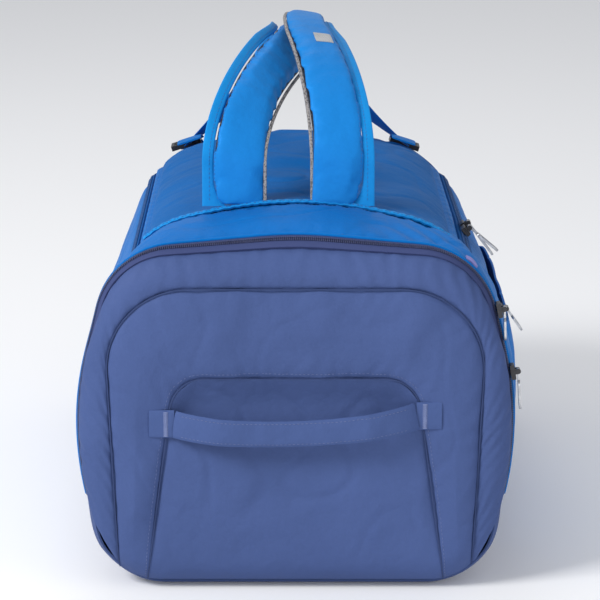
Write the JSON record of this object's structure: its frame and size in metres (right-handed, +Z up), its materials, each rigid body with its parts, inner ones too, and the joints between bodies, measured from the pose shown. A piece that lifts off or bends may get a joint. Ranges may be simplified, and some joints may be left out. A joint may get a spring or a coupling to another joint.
{
  "type": "ski boot bag",
  "caption": "Soft travel bag lying on its base, with a zipped lid, a zipped end compartment for boots, two padded carrying straps over the lid, end grab handles and a side pocket.",
  "frame": {"origin": "on the floor under the middle of the bag, at the flat underside of the base", "axes": "+Z up, +Y along the bag away from the boot compartment, +X to the side that has the pocket"},
  "size_m": [0.3929, 0.6352, 0.4584],
  "materials": {
    "navy_fabric": "coated woven polyester, semi-matt",
    "blue_fabric": "coated woven polyester, satin",
    "lid_fabric": "coated woven polyester, satin",
    "strap_fabric": "coated woven polyester, satin",
    "mesh_fabric": "air mesh, matt",
    "webbing": "flat polyester webbing",
    "zip_tape": "woven zip tape",
    "zip_coil": "nylon coil",
    "slider_metal": "painted die-cast zinc",
    "puller_metal": "gunmetal plated zinc",
    "lock_plastic": "moulded acetal",
    "lining_fabric": "plain woven lining",
    "board_plastic": "polyethylene board",
    "patch_grey": "reflective film",
    "stitch_thread": "polyester thread"
  },
  "bodies": {
    "bag": {"base_board": "board_plastic", "base_panel": "navy_fabric", "divider_panel": "lining_fabric", "end_base_panel": "navy_fabric", "end_zip_body_coil": "zip_coil", "end_zip_body_tape": "zip_tape", "end_zip_tab": "stitch_thread", "far_end_panel": "blue_fabric", "far_handle_bartacks": "stitch_thread", "far_handle_tabs": "navy_fabric", "main_zip_body_coil": "zip_coil", "main_zip_body_tape": "zip_tape", "pocket_zip": "zip_tape", "saddle_panel": "blue_fabric", "side_panel_left": "blue_fabric", "side_panel_right": "blue_fabric", "side_pocket": "blue_fabric", "zip_garage": "blue_fabric"},
    "lid": {"lid_panel": "lid_fabric", "lid_band": "blue_fabric", "main_zip_lid_tape": "zip_tape", "main_zip_lid_coil": "zip_coil", "strap_left_root": "blue_fabric", "strap_right_root": "blue_fabric", "strap_left_anchor": "webbing", "strap_right_anchor": "webbing", "strap_left_lock": "lock_plastic", "strap_right_lock": "lock_plastic"},
    "left_strap": {"strap_left_pad": "strap_fabric", "strap_left_lining": "mesh_fabric", "strap_left_flange": "strap_fabric", "strap_left_webbing": "webbing"},
    "right_strap": {"strap_right_pad": "strap_fabric", "strap_right_lining": "mesh_fabric", "strap_right_flange": "strap_fabric", "strap_right_webbing": "webbing", "strap_right_patch": "patch_grey"},
    "end_flap": {"end_flap_ring": "navy_fabric", "end_flap_middle": "navy_fabric", "end_flap_hollow": "navy_fabric", "end_zip_flap_tape": "zip_tape", "end_zip_flap_coil": "zip_coil", "end_handle_tabs": "navy_fabric", "end_handle_bartacks": "stitch_thread"},
    "end_grip": {"end_handle": "navy_fabric"},
    "far_grip": {"far_handle": "navy_fabric"},
    "main_near_zip_slider": {"main_near_slider": "slider_metal"},
    "main_near_zip_pull": {"main_near_puller": "puller_metal"},
    "main_far_zip_slider": {"main_far_slider": "slider_metal"},
    "main_far_zip_pull": {"main_far_puller": "puller_metal"},
    "end_upper_zip_slider": {"end_upper_slider": "slider_metal"},
    "end_upper_zip_pull": {"end_upper_puller": "puller_metal"},
    "end_lower_zip_slider": {"end_lower_slider": "slider_metal"},
    "end_lower_zip_pull": {"end_lower_puller": "puller_metal"},
    "pocket_zip_slider": {"pocket_slider": "slider_metal"},
    "pocket_zip_pull": {"pocket_puller": "puller_metal"}
  },
  "joints": [
    {"name": "lid_hinge", "type": "hinge", "parent": "bag", "child": "lid", "pos_m": [0, -0.19, 0.3185], "axis": [1, 0, 0], "range_deg": [0, 95]},
    {"name": "end_flap_hinge", "type": "hinge", "parent": "bag", "child": "end_flap", "pos_m": [0, -0.3, 0.08025], "axis": [1, 0, 0], "range_deg": [0, 85]},
    {"name": "strap_left_flop", "type": "hinge", "parent": "lid", "child": "left_strap", "pos_m": [-0.054, -0.18, 0.35], "axis": [0.1297, -0.9845, 0.1182], "range_deg": [0, 70]},
    {"name": "strap_right_flop", "type": "hinge", "parent": "lid", "child": "right_strap", "pos_m": [0.042, -0.18, 0.35], "axis": [0.1569, 0.9806, -0.1177], "range_deg": [0, 70]},
    {"name": "end_handle_pull", "type": "slide", "parent": "end_flap", "child": "end_grip", "axis": [0, -1, 0], "range_m": [0, 0.012]},
    {"name": "far_handle_pull", "type": "slide", "parent": "bag", "child": "far_grip", "axis": [0, 1, 0], "range_m": [0, 0.012]},
    {"name": "main_near_slide", "type": "slide", "parent": "lid", "child": "main_near_zip_slider", "axis": [0, 1, 0], "range_m": [-0.07, 0]},
    {"name": "main_far_slide", "type": "slide", "parent": "lid", "child": "main_far_zip_slider", "axis": [0, 1, 0], "range_m": [0, 0.21]},
    {"name": "end_upper_slide", "type": "hinge", "parent": "end_flap", "child": "end_upper_zip_slider", "pos_m": [0.1013, -0.28, 0.2305], "axis": [0, -1, 0], "range_deg": [0, 68]},
    {"name": "end_lower_slide", "type": "hinge", "parent": "end_flap", "child": "end_lower_zip_slider", "pos_m": [-0.11341, -0.28, 0.14398], "axis": [0, 1, 0], "range_deg": [0, 15]},
    {"name": "pocket_slide", "type": "slide", "parent": "bag", "child": "pocket_zip_slider", "axis": [0, 1, 0], "range_m": [0, 0.26]},
    {"name": "main_near_pull_swing", "type": "hinge", "parent": "main_near_zip_slider", "child": "main_near_zip_pull", "pos_m": [0.1578, -0.104, 0.27766], "axis": [0, -1, 0], "range_deg": [-8, 150]},
    {"name": "main_far_pull_swing", "type": "hinge", "parent": "main_far_zip_slider", "child": "main_far_zip_pull", "pos_m": [0.1578, -0.084, 0.27766], "axis": [0, -1, 0], "range_deg": [-3, 150]},
    {"name": "end_upper_pull_swing", "type": "hinge", "parent": "end_upper_zip_slider", "child": "end_upper_zip_pull", "pos_m": [0.17766, -0.28, 0.24673], "axis": [0, -1, 0], "range_deg": [0, 150]},
    {"name": "end_lower_pull_swing", "type": "hinge", "parent": "end_lower_zip_slider", "child": "end_lower_zip_pull", "pos_m": [0.19013, -0.28, 0.19206], "axis": [0, -1, 0], "range_deg": [0, 150]},
    {"name": "pocket_pull_swing", "type": "hinge", "parent": "pocket_zip_slider", "child": "pocket_zip_pull", "pos_m": [0.18904, -0.15, 0.21388], "axis": [0, -1, 0], "range_deg": [-6, 140]}
  ]
}
